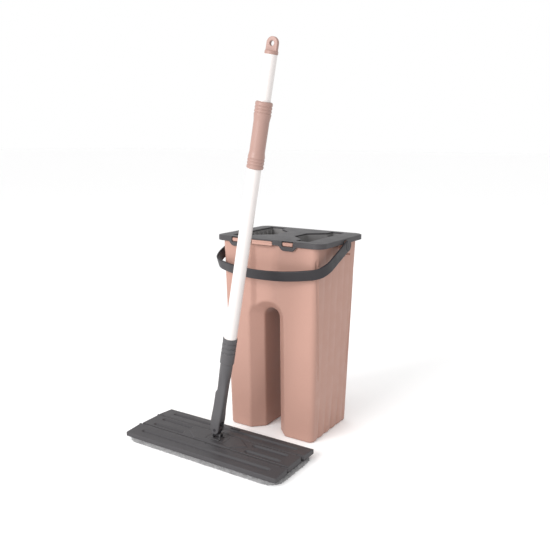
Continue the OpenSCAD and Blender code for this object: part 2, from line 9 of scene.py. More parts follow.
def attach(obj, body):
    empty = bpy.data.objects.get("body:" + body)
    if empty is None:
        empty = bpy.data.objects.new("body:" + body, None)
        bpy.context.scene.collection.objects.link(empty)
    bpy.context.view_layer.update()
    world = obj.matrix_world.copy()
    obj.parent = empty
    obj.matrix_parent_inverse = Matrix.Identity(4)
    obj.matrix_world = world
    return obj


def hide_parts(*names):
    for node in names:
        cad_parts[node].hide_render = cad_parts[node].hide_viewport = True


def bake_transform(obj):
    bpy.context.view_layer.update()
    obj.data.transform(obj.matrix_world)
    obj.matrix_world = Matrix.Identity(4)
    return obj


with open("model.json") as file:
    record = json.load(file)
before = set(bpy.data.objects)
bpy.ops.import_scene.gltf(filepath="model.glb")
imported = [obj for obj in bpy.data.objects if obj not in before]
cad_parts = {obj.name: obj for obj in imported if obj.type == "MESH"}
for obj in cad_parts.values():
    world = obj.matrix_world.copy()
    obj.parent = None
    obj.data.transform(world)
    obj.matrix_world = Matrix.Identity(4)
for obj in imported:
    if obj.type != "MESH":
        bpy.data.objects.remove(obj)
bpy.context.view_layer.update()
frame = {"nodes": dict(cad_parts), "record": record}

rng = np.random.default_rng(7)

# Sizes in millimetres, as in the CAD. The bucket's middle and the mop's middle are in the row frame.
BUCKET = (44.0, 77.25, 0.0)
MOP = (0.0, -96.75, 0.0)

# Bucket, from its own middle
BASE_HALF_W, BASE_HALF_D = 91, 69
RIM_Z = 369.0
LEAN_X, LEAN_Y = 9.5 / 369.0, 10.5 / 369.0
FLOOR_T, WALL = 2.5, 3.4
GAP_X, GAP_R, SPRING, CHAMFER = -5.5, 16.0, 224.0, 22.0
CHANNEL_X, CHANNEL_HALF, CHANNEL_DEPTH = -8.0, 26.5, 6.5
LOBE_PITCH, LOBE_START = 24.3, 7.15
PIVOT_Y, PIVOT_Z, BOSS_R, PEG_BORE_R = 8.0, 359.0, 8, 4.05
STOP_R, STOP_Y, STOP_GAP = 2, 16, 0.3
BAR_X, BAR_HALF, BAR_Z = -9.5, 22.0, 364.5

# Lid
LID_HALF_W, LID_HALF_D, LID_R = 112.5, 84, 18
LID_TOP, SKIRT_LOW, SKIRT_T = 372, 362, 2.4
TAB_X, TAB_HALF, TAB_LOW = 53.5, 18.5, 354
WINDOW_HALF_W, WINDOW_HALF_H, WINDOW_Z = 11.4, 4.4, 366.1
WASH_X, WASH_W, WRING_X, WRING_W = -66, 34, 65, 26
SLOT_HALF_L, NOTCH_END, NOTCH_OUT, NOTCH_DEPTH = 68, 22, 28, 31
SCREWS = ((-91, 45), (-41, 68), (35.5, 68), (86, 68))
PILLAR_R = 3.4

# Bail
BAIL_HALF, BAIL_REACH, BAIL_R, BAIL_BOW, DROOP = 117.5, 124.0, 58.0, 268.0, math.radians(23)
BOW_CUT = 2
STRIP_T, STRIP_HALF = 3.5, 10.0
EYE_R, PEG_R, PEG_HEAD_R, PEG_IN = 10, 4, 5.4, 94

# Mop head, from its own middle
HALF_L, HALF_W, HINGE_Y, HINGE_Z, BARREL_R = 162.5, 62.5, 25.0, 15.2, 2.9
KNUCKLE = 12
GROOVE_R, GROOVE_END = 4.5, 140
CENTRE_GROOVE_Y, CENTRE_GROOVE_START, FLAP_GROOVE_Y = 12, 68, 44
PAD_T = 7.0
PANEL_TOP, PLATFORM_TOP = 18.4, 19.6
FORK_Z, TILT_Z, SEAT_Z = 38.0, 26.0, 16.6

# Pole, along its axis from the fork pin
TILT = math.radians(10)
COLLAR_LOW, COLLAR_TOP, COLLAR_R = 129, 176, 12.5
LOWER_R, LOWER_TOP, UPPER_R, UPPER_LOW, UPPER_TOP = 11, 557, 9.9, 203, 642
GRIP_LOW, GRIP_TOP, GRIP_END_R, GRIP_WAIST_R = 468.0, 572.0, 13.75, 12.5
CAP_R, CAP_EYE, CAP_EYE_R = 10, 658, 4

AT_BUCKET = Matrix.Translation(Vector(BUCKET))
AT_MOP = Matrix.Translation(Vector(MOP))
ALONG_POLE = Matrix.Translation(Vector((MOP[0], MOP[1], FORK_Z))) @ Matrix.Rotation(TILT, 4, "Y")


# ---------------------------------------------------------------- distance fields

def step(low, high, x):
    t = np.clip((x - low) / (high - low), 0, 1)
    return t * t * (3 - 2 * t)


def rect(x, y, half_x, half_y, r):
    """Distance to a rectangle with round corners."""
    qx, qy = np.abs(x) - (half_x - r), np.abs(y) - (half_y - r)
    return np.hypot(np.maximum(qx, 0), np.maximum(qy, 0)) + np.minimum(np.maximum(qx, qy), 0) - r


def meet(a, b, r):
    """What is inside both a and b, with an edge of radius r."""
    return np.minimum(-r, np.maximum(a, b)) + np.hypot(np.maximum(a + r, 0), np.maximum(b + r, 0))


def join(a, b, r):
    """What is inside a or b, with a fillet of radius r."""
    return -meet(-a, -b, r)


def between(x, low, high):
    return np.maximum(low - x, x - high)


# ---------------------------------------------------------------- meshes

def gradient(field, p, e):
    g = np.empty_like(p)
    for a in range(3):
        d = np.zeros(3)
        d[a] = e
        g[:, a] = (field(*(p + d).T) - field(*(p - d).T)) / (2 * e)
    return g


def skin(field, low, high, pitch):
    """Points, quads and normals of the surface where field is 0, by surface nets."""
    axes = [np.arange(a - 2 * pitch, b + 3 * pitch, pitch) for a, b in zip(low, high)]
    value = field(*np.meshgrid(*axes, indexing="ij"))
    inside = value < 0
    n = np.array(inside.shape) - 1
    count = np.zeros(n, np.int8)
    for i in (0, 1):
        for j in (0, 1):
            for k in (0, 1):
                count += inside[i:n[0] + i, j:n[1] + j, k:n[2] + k]
    active = (count > 0) & (count < 8)
    cells = np.argwhere(active)
    ids = np.full(n, -1)
    ids[active] = np.arange(len(cells))
    total = np.zeros((len(cells), 3))
    hits = np.zeros(len(cells))
    unit = np.eye(3, dtype=int)
    quads = []
    for a in range(3):
        u, v = unit[(a + 1) % 3], unit[(a + 2) % 3]
        for b in (0, 1):
            for c in (0, 1):
                p0 = cells + b * u + c * v
                p1 = p0 + unit[a]
                v0, v1 = value[tuple(p0.T)], value[tuple(p1.T)]
                cross = (v0 < 0) != (v1 < 0)
                t = v0[cross] / (v0[cross] - v1[cross])
                total[cross] += p0[cross] + t[:, None] * unit[a]
                hits[cross] += 1
        low_side = [slice(None)] * 3
        high_side = [slice(None)] * 3
        low_side[a], high_side[a] = slice(None, -1), slice(1, None)
        first, second = inside[tuple(low_side)], inside[tuple(high_side)]
        for out, flip in ((first & ~second, False), (~first & second, True)):
            edge = np.argwhere(out)
            ring = [ids[tuple((edge - du * u - dv * v).T)] for du, dv in ((1, 1), (0, 1), (0, 0), (1, 0))]
            quads.append(np.stack(ring[::-1] if flip else ring, axis=1))
    p = total / hits[:, None] * pitch + np.array([g[0] for g in axes])
    start = p.copy()
    for _ in range(4):
        g = gradient(field, p, 0.02)
        f = field(*p.T)
        p = p - (np.clip(f, -pitch / 2, pitch / 2) / np.maximum((g * g).sum(1), 0.3))[:, None] * g
        p = start + np.clip(p - start, -pitch * 0.7, pitch * 0.7)
    g = gradient(field, p, pitch * 0.2)
    return p, np.concatenate(quads), g / np.maximum(np.linalg.norm(g, axis=1), 1e-6)[:, None]


def normals(points, faces):
    """Normals of the points, weighted by the area of the faces round them."""
    n = np.zeros_like(points)
    cross = np.cross(points[faces[:, 2]] - points[faces[:, 0]], points[faces[:, 3]] - points[faces[:, 1]])
    for c in range(4):
        np.add.at(n, faces[:, c], cross)
    return n / np.maximum(np.linalg.norm(n, axis=1), 1e-9)[:, None]


def lathe(profile, steps=96):
    """A ring of the closed profile of (radius, height) points about Z."""
    prof = np.array(profile, float)
    m = len(prof)
    t = np.linspace(0, 2 * np.pi, steps, endpoint=False)
    p = np.stack([np.outer(np.cos(t), prof[:, 0]), np.outer(np.sin(t), prof[:, 0]),
                  np.tile(prof[:, 1], (steps, 1))], axis=-1).reshape(-1, 3)
    i, j = np.meshgrid(np.arange(steps), np.arange(m), indexing="ij")
    i2, j2 = (i + 1) % steps, (j + 1) % m
    f = np.stack([i * m + j, i2 * m + j, i2 * m + j2, i * m + j2], axis=-1).reshape(-1, 4)
    return p, f, normals(p, f)


def rounded(corners, r, segments=5):
    """The closed outline with each corner turned into an arc of radius r, or less where there is no room."""
    pts = [np.array(c, float) for c in corners]
    out = []
    for k, c in enumerate(pts):
        a, b = pts[k - 1] - c, pts[(k + 1) % len(pts)] - c
        la, lb = np.linalg.norm(a), np.linalg.norm(b)
        a, b = a / la, b / lb
        half = math.acos(max(-1, min(1, float(a @ b)))) / 2
        if abs(math.pi / 2 - half) < 0.02:
            out.append(c)
            continue
        cut = min(r / math.tan(half), la * 0.45, lb * 0.45)
        radius = cut * math.tan(half)
        mid = c + (a + b) / np.linalg.norm(a + b) * radius / math.sin(half)
        s, e = c + a * cut - mid, c + b * cut - mid
        sweep = math.atan2(s[0] * e[1] - s[1] * e[0], s @ e)
        for q in range(segments + 1):
            w = sweep * q / segments
            cos, sin = math.cos(w), math.sin(w)
            out.append(mid + np.array([s[0] * cos - s[1] * sin, s[0] * sin + s[1] * cos]))
    return out


def moved(part, matrix):
    p, f, n = part
    m = np.array(matrix)
    return p @ m[:3, :3].T + m[:3, 3], f, n @ m[:3, :3].T


def piece(name, parts, at, body, material, replaces=(), ride=True):
    """One object from parts in millimetres, placed by the matrix at."""
    points, faces, norms, base = [], [], [], 0
    for part in parts:
        p, f, n = moved(part, at)
        points.append(p / 1000)
        faces.append(f + base)
        norms.append(n)
        base += len(p)
    mesh = bpy.data.meshes.new(name)
    mesh.from_pydata(np.concatenate(points).tolist(), [], np.concatenate(faces).tolist())
    mesh.validate()
    mesh.shade_smooth()
    mesh.normals_split_custom_set_from_vertices(np.concatenate(norms).tolist())
    mesh.materials.append(material)
    obj = bpy.data.objects.new(name, mesh)
    bpy.context.scene.collection.objects.link(obj)
    if ride:
        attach(obj, body)
    if replaces:
        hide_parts(*replaces)
    return obj


# ---------------------------------------------------------------- materials

def finish(name, colour, rough, vary=0.05, grain=1400, grain_depth=0.00003, wave_depth=0.0,
           wear=0.12, metallic=0.0, specular=0.5, coat=0.0, sheen=0.0, rough_vary=0.08):
    """A material whose colour, roughness and relief vary by noise at real scale."""
    m = bpy.data.materials.new(name)
    m.use_nodes = True
    nt = m.node_tree
    bsdf = nt.nodes["Principled BSDF"]
    link = nt.links.new

    def node(kind, **inputs):
        n = nt.nodes.new(kind)
        for k, v in inputs.items():
            n.inputs[k.replace("_", " ")].default_value = v
        return n

    def mix(kind, factor, a, b):
        n = nt.nodes.new("ShaderNodeMix")
        n.data_type = "RGBA"
        n.blend_type = kind
        for socket, v in ((n.inputs[0], factor), (n.inputs[6], a), (n.inputs[7], b)):
            if isinstance(v, bpy.types.NodeSocket):
                link(v, socket)
            else:
                socket.default_value = v
        return n.outputs[2]

    def ramp(source, low, high, a, b):
        n = nt.nodes.new("ShaderNodeMapRange")
        n.interpolation_type = "SMOOTHSTEP"
        link(source, n.inputs[0])
        for i, v in enumerate((low, high, a, b)):
            n.inputs[i + 1].default_value = v
        return n.outputs[0]

    place = nt.nodes.new("ShaderNodeTexCoord").outputs["Object"]

    def noise(scale, detail=3.0):
        n = node("ShaderNodeTexNoise", Scale=scale, Detail=detail)
        link(place, n.inputs["Vector"])
        return n.outputs["Fac"]

    full = (*colour, 1.0)
    paler = (*(min(1, c * 1.18 + 0.03) for c in colour), 1.0)
    deeper = (*(c * (1 - 2.2 * vary) for c in colour), 1.0)
    base = mix("MIX", ramp(noise(9, 4), 0.35, 0.68, 0.0, 1.0), full, (*(c * (1 - vary) for c in colour), 1.0))
    base = mix("MIX", ramp(noise(grain * 0.25, 2), 0.5, 0.8, 0.0, 0.6), base, deeper)
    if wear:
        edge = nt.nodes.new("ShaderNodeNewGeometry").outputs["Pointiness"]
        worn = nt.nodes.new("ShaderNodeMath")
        worn.operation = "MULTIPLY"
        link(ramp(edge, 0.52, 0.6, 0.0, wear * 2.5), worn.inputs[0])
        link(ramp(noise(120, 4), 0.35, 0.6, 0.2, 1.0), worn.inputs[1])
        base = mix("MIX", worn.outputs[0], base, paler)
    link(base, bsdf.inputs["Base Color"])
    link(ramp(noise(45, 5), 0.3, 0.7, rough - rough_vary, rough + rough_vary), bsdf.inputs["Roughness"])
    fine = node("ShaderNodeBump", Strength=1.0, Distance=grain_depth)
    link(noise(grain, 3), fine.inputs["Height"])
    last = fine
    if wave_depth:
        wide = node("ShaderNodeBump", Strength=1.0, Distance=wave_depth)
        link(noise(14, 1), wide.inputs["Height"])
        link(last.outputs[0], wide.inputs["Normal"])
        last = wide
    link(last.outputs[0], bsdf.inputs["Normal"])
    bsdf.inputs["Metallic"].default_value = metallic
    bsdf.inputs["Specular IOR Level"].default_value = specular
    bsdf.inputs["Coat Weight"].default_value = coat
    bsdf.inputs["Coat Roughness"].default_value = 0.08
    bsdf.inputs["Sheen Weight"].default_value = sheen
    bsdf.inputs["Sheen Roughness"].default_value = 0.5
    return m


PINK = finish("pink_plastic", (0.405, 0.237, 0.192), 0.45, vary=0.03, wave_depth=0.0004, wear=0.08,
              specular=0.2)
DARK = finish("dark_plastic", (0.054, 0.051, 0.054), 0.48, vary=0.03, grain_depth=0.00005, wear=0.05,
              specular=0.25, rough_vary=0.03)
# The slot frames are the lid's dark plastic painted paler: painted light that offsets the shade deep inside
# the slots.
FRAME_PAINTED_PALE = finish("frame_plastic", (0.20, 0.195, 0.195), 0.5, vary=0.06, grain_depth=0.00005, wear=0.08,
               specular=0.3)
BLACK = finish("black_plastic", (0.022, 0.020, 0.023), 0.42, vary=0.05, grain_depth=0.00005, wear=0.08,
               specular=0.35)
SOCKET = finish("socket_plastic", (0.074, 0.071, 0.075), 0.42, vary=0.04, grain_depth=0.00005, wear=0.12,
                specular=0.35)
PALE = finish("pale_plastic", (0.5, 0.5, 0.48), 0.38, vary=0.03)
RUBBER = finish("black_rubber", (0.012, 0.012, 0.012), 0.75, vary=0.15, grain=700, grain_depth=0.00008,
                wear=0.05)
STEEL = finish("steel", (0.55, 0.56, 0.58), 0.28, vary=0.05, metallic=1.0, wear=0.05)
TAPE = finish("hook_tape", (0.012, 0.012, 0.013), 0.8, vary=0.2, grain=900, grain_depth=0.0006, wear=0.0)
MICROFIBRE = finish("microfibre", (0.36, 0.355, 0.36), 0.95, vary=0.22, grain=650, grain_depth=0.0009,
                    wear=0.3, specular=0.1, sheen=0.3)
# The tube's white is tinted pink as a painted reflection of the pink bucket beside it.
WHITE_PAINTED_BOUNCE = finish("white_tube", (0.64, 0.60, 0.585), 0.18, vary=0.015, wear=0.0, coat=0.3, grain_depth=0.000008)
GRIP = finish("pink_grip", (0.33, 0.205, 0.175), 0.38, vary=0.03, wear=0.08, specular=0.35)

SLOTS = {"pink_plastic": PINK, "dark_plastic": DARK, "frame_plastic": FRAME_PAINTED_PALE, "black_plastic": BLACK,
         "socket_plastic": SOCKET, "pale_plastic": PALE, "black_rubber": RUBBER, "steel": STEEL,
         "hook_tape": TAPE, "microfibre": MICROFIBRE, "white_tube": WHITE_PAINTED_BOUNCE, "pink_grip": GRIP}
for part in frame["record"]["subparts"]:
    node = frame["nodes"][part["node"]]
    node.data.materials.clear()
    node.data.materials.append(SLOTS[part["material_slot"]])


# ---------------------------------------------------------------- bucket

def bucket_walls(x, y, z):
    """The tapered body between its two legs, with its lobed sides, corner grooves and channels."""
    lobe = (y + LOBE_START) / LOBE_PITCH
    lobe = 2 * (lobe - np.round(lobe))
    deep = 0.5 + 1.9 * (1 - step(8, 90, z))
    half_w = BASE_HALF_W + LEAN_X * z - deep * lobe ** 2 * (1 - step(48, 56, np.abs(y)))
    line = np.abs(np.abs(y) - 61 - 0.08 * (z - 180))
    half_w = half_w - 1.4 * (1 - step(0.6, 3.0, line)) * step(114, 124, z) * (1 - step(336, 344, z))
    sunk = rect(x - CHANNEL_X, z - 400, CHANNEL_HALF, 200, 12)
    front = BASE_HALF_D + LEAN_Y * z
    flank = 1 - np.where(x > CHANNEL_X, step(-22, 9, sunk), step(-7, 5, sunk))
    half_d = front - CHANNEL_DEPTH * flank * step(205, 262, z)
    body = rect(x, y, half_w, half_d, 10 + 0.005 * z)
    gap = np.hypot(x - GAP_X, np.maximum(z - SPRING, 0)) - GAP_R
    slant = (CHAMFER - gap - (front - np.abs(y))) / math.sqrt(2)
    return meet(meet(body, -gap, 0.8), slant, 2.0)


def bucket(x, y, z):
    walls = bucket_walls(x, y, z)
    solid = meet(walls, -z, 4)
    cavity = np.maximum(walls + WALL, FLOOR_T - z)
    shell = np.maximum(np.maximum(solid, -cavity), z - RIM_Z)
    divider = np.maximum(np.maximum(np.abs(x - GAP_X) - 1.5, walls + 1), between(z, 250, 324))
    shell = np.minimum(shell, divider)
    boss = np.maximum(np.hypot(y - PIVOT_Y, z - PIVOT_Z) - BOSS_R, between(np.abs(x), 98, 113.5))
    shell = join(shell, boss, 1.0)
    for side in (1, -1):
        a = side * DROOP
        sy, sz = -side * STOP_Y, -STRIP_HALF - STOP_R - STOP_GAP
        cy = PIVOT_Y + sy * math.cos(a) - sz * math.sin(a)
        cz = PIVOT_Z + sy * math.sin(a) + sz * math.cos(a)
        stop = meet(np.hypot(y - cy, z - cz) - STOP_R, between(np.abs(x), 99, BAIL_HALF - 1), 0.6)
        shell = np.minimum(shell, stop)
    bar = rect(x - BAR_X, z - BAR_Z, BAR_HALF, 4.4, 0.8)
    face = LID_HALF_D - 0.9 * np.exp(-((z - 364.3) / 1.1) ** 2)
    shell = np.minimum(shell, meet(bar, between(-y, 70.5, face), 0.7))
    for s in (-1, 1):
        taper = 11.0 - 0.2 * (368.8 - z)
        catch = np.maximum(np.abs(x - BAR_X - s * TAB_X) - taper, between(z, 362.2, 368.8))
        proud = 83.9 - 0.08 * (z - 362.2)
        shell = np.minimum(shell, meet(catch, between(np.abs(y), 77, proud), 0.7))
    return np.maximum(shell, PEG_BORE_R - np.hypot(y - PIVOT_Y, z - PIVOT_Z))


piece("bucket_body", [skin(bucket, (-117, -84, 0), (117, 84, 369), 1.6)],
      AT_BUCKET, "bucket", PINK, ["bucket_shell"])


# ---------------------------------------------------------------- lid

def slot(x, y, centre, width, side):
    """A mop slot with a slanted notch for the pole on the side towards the bucket's middle."""
    box = rect(x - centre, y, width / 2, SLOT_HALF_L, 2)
    u = (x - centre) * side
    slope = math.hypot(NOTCH_OUT, NOTCH_DEPTH)
    deep = u - width / 2 - 30
    shoulder = ((np.abs(y) - NOTCH_END) * NOTCH_DEPTH + deep * NOTCH_OUT) / slope
    notch = np.maximum(np.maximum(shoulder, deep), -u)
    return join(box, notch, 1.5)


def lid(x, y, z):
    outline = rect(x, y, LID_HALF_W, LID_HALF_D, LID_R)
    crown = LID_TOP - 0.6 * step(-26, 0, outline)
    top = meet(outline, z - crown, 2.6)
    top = np.maximum(top, RIM_Z - z)
    ring = np.maximum(outline, -(outline + SKIRT_T))
    skirt = meet(ring, between(z, SKIRT_LOW, LID_TOP - 1), 0.8)
    for s in (-1, 1):
        u = x - BAR_X - s * TAB_X
        side = (np.abs(u) - TAB_HALF + (SKIRT_LOW - np.minimum(z, SKIRT_LOW)) * 7 / 8) * 0.75
        tab = np.maximum(meet(side, TAB_LOW - z, 3), z - 365)
        tab = meet(tab, between(np.abs(y), LID_HALF_D - SKIRT_T, LID_HALF_D), 0.7)
        skirt = np.minimum(skirt, tab)
    solid = np.minimum(top, skirt)
    for s in (-1, 1):
        window = rect(x - BAR_X - s * TAB_X, z - WINDOW_Z, WINDOW_HALF_W, WINDOW_HALF_H, 0.8)
        solid = meet(solid, -np.maximum(window, 80 - np.abs(y)), 0.5)
    cut = np.maximum(rect(x - BAR_X, z - 360, BAR_HALF + 0.5, 9, 1), y + 80)
    solid = meet(solid, -cut, 0.4)
    boss = np.maximum(rect(y - PIVOT_Y, z - 355, BOSS_R + 1, 12.8, 3), LID_HALF_W - 5 - np.abs(x))
    solid = np.maximum(solid, -boss)
    for px, py in SCREWS:
        pillar = np.maximum(np.hypot(x - px, np.abs(y) - py) - PILLAR_R, between(z, 361, 370))
        solid = np.minimum(solid, pillar)
    solid = meet(solid, -slot(x, y, WASH_X, WASH_W, 1), 1.0)
    return meet(solid, -slot(x, y, WRING_X, WRING_W, -1), 1.0)


piece("lid_top", [skin(lid, (-113, -84, 354), (113, 84, 372), 0.95)],
      AT_BUCKET, "lid", DARK, ["lid_cover"])


# ---------------------------------------------------------------- bail

def bail(x, y, z):
    """In the bail's own plane: -Y is its reach from the pivots and Z its height."""
    ax = np.abs(x)
    bend = BAIL_R - BAIL_REACH - BOW_CUT
    corner = np.hypot(np.maximum(ax - BAIL_HALF + BAIL_R, 0), np.minimum(y - bend, 0)) - BAIL_R
    outline = np.where(y < bend, corner, ax - BAIL_HALF)
    bow = np.where(y < 0, np.hypot(x, y - BAIL_BOW + BAIL_REACH) - BAIL_BOW, -50)
    outline = meet(outline, bow, 6)
    strip = meet(between(outline, -STRIP_T, 0), np.abs(z) - STRIP_HALF, 1.3)
    strip = np.maximum(strip, y)
    eye = meet(np.hypot(y, z) - EYE_R, between(ax, BAIL_HALF - STRIP_T, BAIL_HALF), 1.0)
    peg = meet(np.hypot(y, z) - PEG_R, between(ax, PEG_IN + 1, BAIL_HALF - 1), 0.5)
    head = meet(np.hypot(y, z) - PEG_HEAD_R, between(ax, PEG_IN, PEG_IN + 3.3), 0.5)
    return np.minimum(np.minimum(join(strip, eye, 2.0), peg), head)


AT_BAIL = AT_BUCKET @ Matrix.Translation((0, PIVOT_Y, PIVOT_Z)) @ Matrix.Rotation(DROOP, 4, "X")
piece("bail_bar", [skin(bail, (-117.5, -124, -11), (117.5, 11, 11), 0.95)],
      AT_BAIL, "bail", BLACK, ["bail_handle"])


# ---------------------------------------------------------------- plate

def trough(x, y, x0, x1, y0):
    """Distance to a groove with round ends along X."""
    return np.hypot(np.maximum(between(x, x0 + GROOVE_R, x1 - GROOVE_R), 0), y - y0) - GROOVE_R


def centre_panel(x, y, z):
    ax, ay = np.abs(x), np.abs(y)
    groove = trough(ax, ay, CENTRE_GROOVE_START, GROOVE_END, CENTRE_GROOVE_Y)
    hexagon = np.maximum(ay - 20, (ax * 20 + ay * 26 - 64 * 20) / math.hypot(20, 26))
    top = PANEL_TOP - 3.2 * (1 - step(-3.8, 1.0, groove)) + 1.2 * (1 - step(-1.6, 1.4, hexagon))
    body = rect(x, y, 161.0, 21.6, 1.0)
    solid = meet(body, np.maximum(z - top, PAD_T - z), 0.9)
    seat = rect(x, y, 20.2, 9.7, 0.5)
    return np.maximum(solid, -np.maximum(seat, SEAT_Z - z))


def flap(x, y, z):
    """The flap towards +Y, whose edge is rolled round the hinge."""
    groove = trough(np.abs(x), y, -200, GROOVE_END, FLAP_GROOVE_Y)
    slope = 2.5 / 34.1
    top = HINGE_Z + BARREL_R - slope * np.clip(y - 28.4, 0, 40)
    top = top - 3.0 * (1 - step(-3.8, 1.0, groove))
    slab = meet(np.maximum(between(y, 27, HALF_W), np.abs(x) - HALF_L), np.maximum(z - top, PAD_T - z), 1.1)
    barrel = np.hypot(y - HINGE_Y, z - HINGE_Z) - BARREL_R
    half = KNUCKLE / 2
    knuckle = np.minimum(np.abs(np.abs(x) - HALF_L + half) - half - 0.5, np.abs(x) - half - 0.5)
    barrel = np.maximum(np.maximum(barrel, np.abs(x) - HALF_L), -knuckle)
    web = np.maximum(np.maximum(between(y, HINGE_Y, 29), between(z, PAD_T, HINGE_Z + BARREL_R)), -knuckle)
    web = np.maximum(web, np.abs(x) - HALF_L)
    solid = join(slab, np.minimum(barrel, web), 0.6)
    vent = np.maximum(between(x, -8, 12), between(y, 50, 55))
    return solid, vent


def back_flap(x, y, z):
    solid, vent = flap(x, y, z)
    return np.maximum(solid, -vent)


def front_flap(x, y, z):
    return flap(x, -y, z)[0]


def hinge_knuckles():
    parts = []
    for side in (-1, 1):
        for x0 in (-HALF_L, -KNUCKLE / 2, HALF_L - KNUCKLE):
            prof = rounded([(1.25, 0), (BARREL_R, 0), (BARREL_R, KNUCKLE), (1.25, KNUCKLE)], 0.4, 3)
            turn = Matrix.Translation((x0, side * HINGE_Y, HINGE_Z)) @ Matrix.Rotation(math.pi / 2, 4, "Y")
            parts.append(moved(lathe(prof, 40), turn))
    return parts


piece("plate_centre", [skin(centre_panel, (-161, -22, 7), (161, 22, 20), 0.8)] + hinge_knuckles(),
      AT_MOP, "mop_head", DARK, ["center_panel"])
piece("plate_front", [skin(front_flap, (-163, -63, 7), (163, -22, 19), 0.8)],
      AT_MOP, "flap_front", DARK, ["front_flap"])
piece("plate_back", [skin(back_flap, (-163, 22, 7), (163, 63, 19), 0.8)],
      AT_MOP, "flap_back", DARK, ["back_flap"])


# ---------------------------------------------------------------- pad

def pad_half(side):
    """Half of the pad, from its middle line to one long edge, with its pile of loops."""
    def body(x, y, z):
        v = y * side
        edge = rect(x, y, 162.6, 63.0, 26)
        lump = 0.35 * np.sin(x * 0.9 + 2 * np.sin(y * 0.31)) * np.sin(y * 0.8 + z * 0.7)
        high = 6.7 - 3.2 * step(-7, -1, edge)
        slab = meet(edge + lump, np.maximum(z - high, 0.3 - z), 2.6)
        return np.maximum(slab, -v)
    p, f, n = skin(body, (-167, -67 if side < 0 else 0, 0), (167, 0 if side < 0 else 67, 7), 1.3)
    # The loops stand along the rim, where the pad shows.
    near_edge = rect(p[:, 0], p[:, 1], 160.0, 60.7, 24) > -1.0
    rim = np.flatnonzero(near_edge & (p[:, 1] * side > 1) & (p[:, 2] > 0.6))
    pick = rng.choice(rim, size=min(len(rim), 4200), replace=False)
    root, out = p[pick], n[pick]
    count = len(pick)
    turn = rng.normal(size=(count, 3))
    across = np.cross(out, turn)
    across /= np.linalg.norm(across, axis=1)[:, None]
    tall = rng.uniform(1.2, 2.4, count)
    wide = rng.uniform(0.7, 1.4, count)
    lean = rng.normal(0, 0.5, (count, 3))
    arch = np.linspace(0, np.pi, 6)
    ring = np.linspace(0, 2 * np.pi, 4, endpoint=False)
    other = np.cross(out, across)
    pts = np.empty((count, 6, 4, 3))
    for i, a in enumerate(arch):
        centre = root + across * (np.cos(a) * wide)[:, None] + out * (np.sin(a) * tall - 0.3)[:, None]
        centre = centre + lean * math.sin(a)
        away = across * np.cos(a) + out * np.sin(a)
        for j, b in enumerate(ring):
            pts[:, i, j] = centre + (away * math.cos(b) + other * math.sin(b)) * 0.42
    pts[..., 2] = np.maximum(pts[..., 2], 0.05)
    pts[..., 0] = np.clip(pts[..., 0], -168.5, 168.5)
    start = np.arange(count)[:, None] * 24
    quads = []
    for i in range(5):
        for j in range(4):
            k = (j + 1) % 4
            quads.append(start + np.array([[i * 4 + j, i * 4 + k, i * 4 + 4 + k, i * 4 + 4 + j]]))
    quads.append(start + np.array([[3, 2, 1, 0]]))
    quads.append(start + np.array([[20, 21, 22, 23]]))
    quads = np.concatenate(quads)
    pts = pts.reshape(-1, 3)
    return [(p, f, n), (pts, quads, normals(pts, quads))]


for side, name, body, nodes in ((-1, "pad_cloth_front", "flap_front", ["pad_front", "pad_center"]),
                                (1, "pad_cloth_back", "flap_back", ["pad_back"])):
    cloth = piece(name, pad_half(side), AT_MOP, body, MICROFIBRE, nodes, ride=False)
    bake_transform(cloth)


# ---------------------------------------------------------------- joint

def joint_base(x, y, z):
    slab = meet(rect(x, y, 20, 9.5, 1.5), np.maximum(z - PLATFORM_TOP, SEAT_Z - z), 0.6)
    block = meet(rect(x, y, 9.2, 9.5, 1.5), np.maximum(z - PLATFORM_TOP - 1.6, SEAT_Z - z), 0.8)
    ax = np.abs(x)
    ears = np.maximum(np.hypot(y, np.maximum(z - TILT_Z, 0)) - 5, SEAT_Z + 0.4 - z)
    ears = meet(ears, between(ax, 6, 9.2), 0.6)
    solid = join(np.minimum(slab, block), ears, 1.2)
    return np.maximum(solid, -np.maximum(np.hypot(y, z - TILT_Z) - 5.4, ax - 6))


def cross_block(x, y, z):
    eye = meet(np.hypot(x, z - FORK_Z) - 7.5, np.abs(y) - 5.2, 0.8)
    stem = np.maximum(rect(x, y, 5.8, 4.2, 1), between(z, TILT_Z, FORK_Z))
    foot = meet(np.hypot(y, z - TILT_Z) - 4.2, np.abs(x) - 5.8, 0.8)
    return join(join(eye, stem, 1.5), foot, 1.0)


piece("joint_seat", [skin(joint_base, (-20, -10, 16), (20, 10, 31), 0.5)],
      AT_MOP, "mop_head", DARK, ["joint_base"])
piece("joint_block", [skin(cross_block, (-8, -6, 21), (8, 6, 46), 0.45)],
      AT_MOP, "yoke", BLACK, ["cross_block"])


# ---------------------------------------------------------------- pole

def socket(x, y, s):
    """The moulded socket along the pole: a fork, a boxy body that is wider below, and a round neck."""
    morph = step(80, 122, s)
    right = 8 + step(10, 24, s) + 2 * morph
    left = right + 3 * (1 - step(69, 77, s)) * step(-2, 8, s)
    half_y = 9 - 2 * step(18, 50, s) + 4 * morph
    corner = 2.0 + 1.6 * step(8, 26, s) + 7.2 * morph
    shaft = rect(x - (right - left) / 2, y, (right + left) / 2, half_y, corner)
    shaft = np.maximum(shaft, between(s, 0, COLLAR_LOW))
    foot = meet(np.hypot(x, s) - 8, np.abs(y) - 9, 1.2)
    solid = np.minimum(shaft, foot)
    gap = np.maximum(np.abs(y) - 5.5, s - 16)
    return meet(solid, -gap, 0.5)


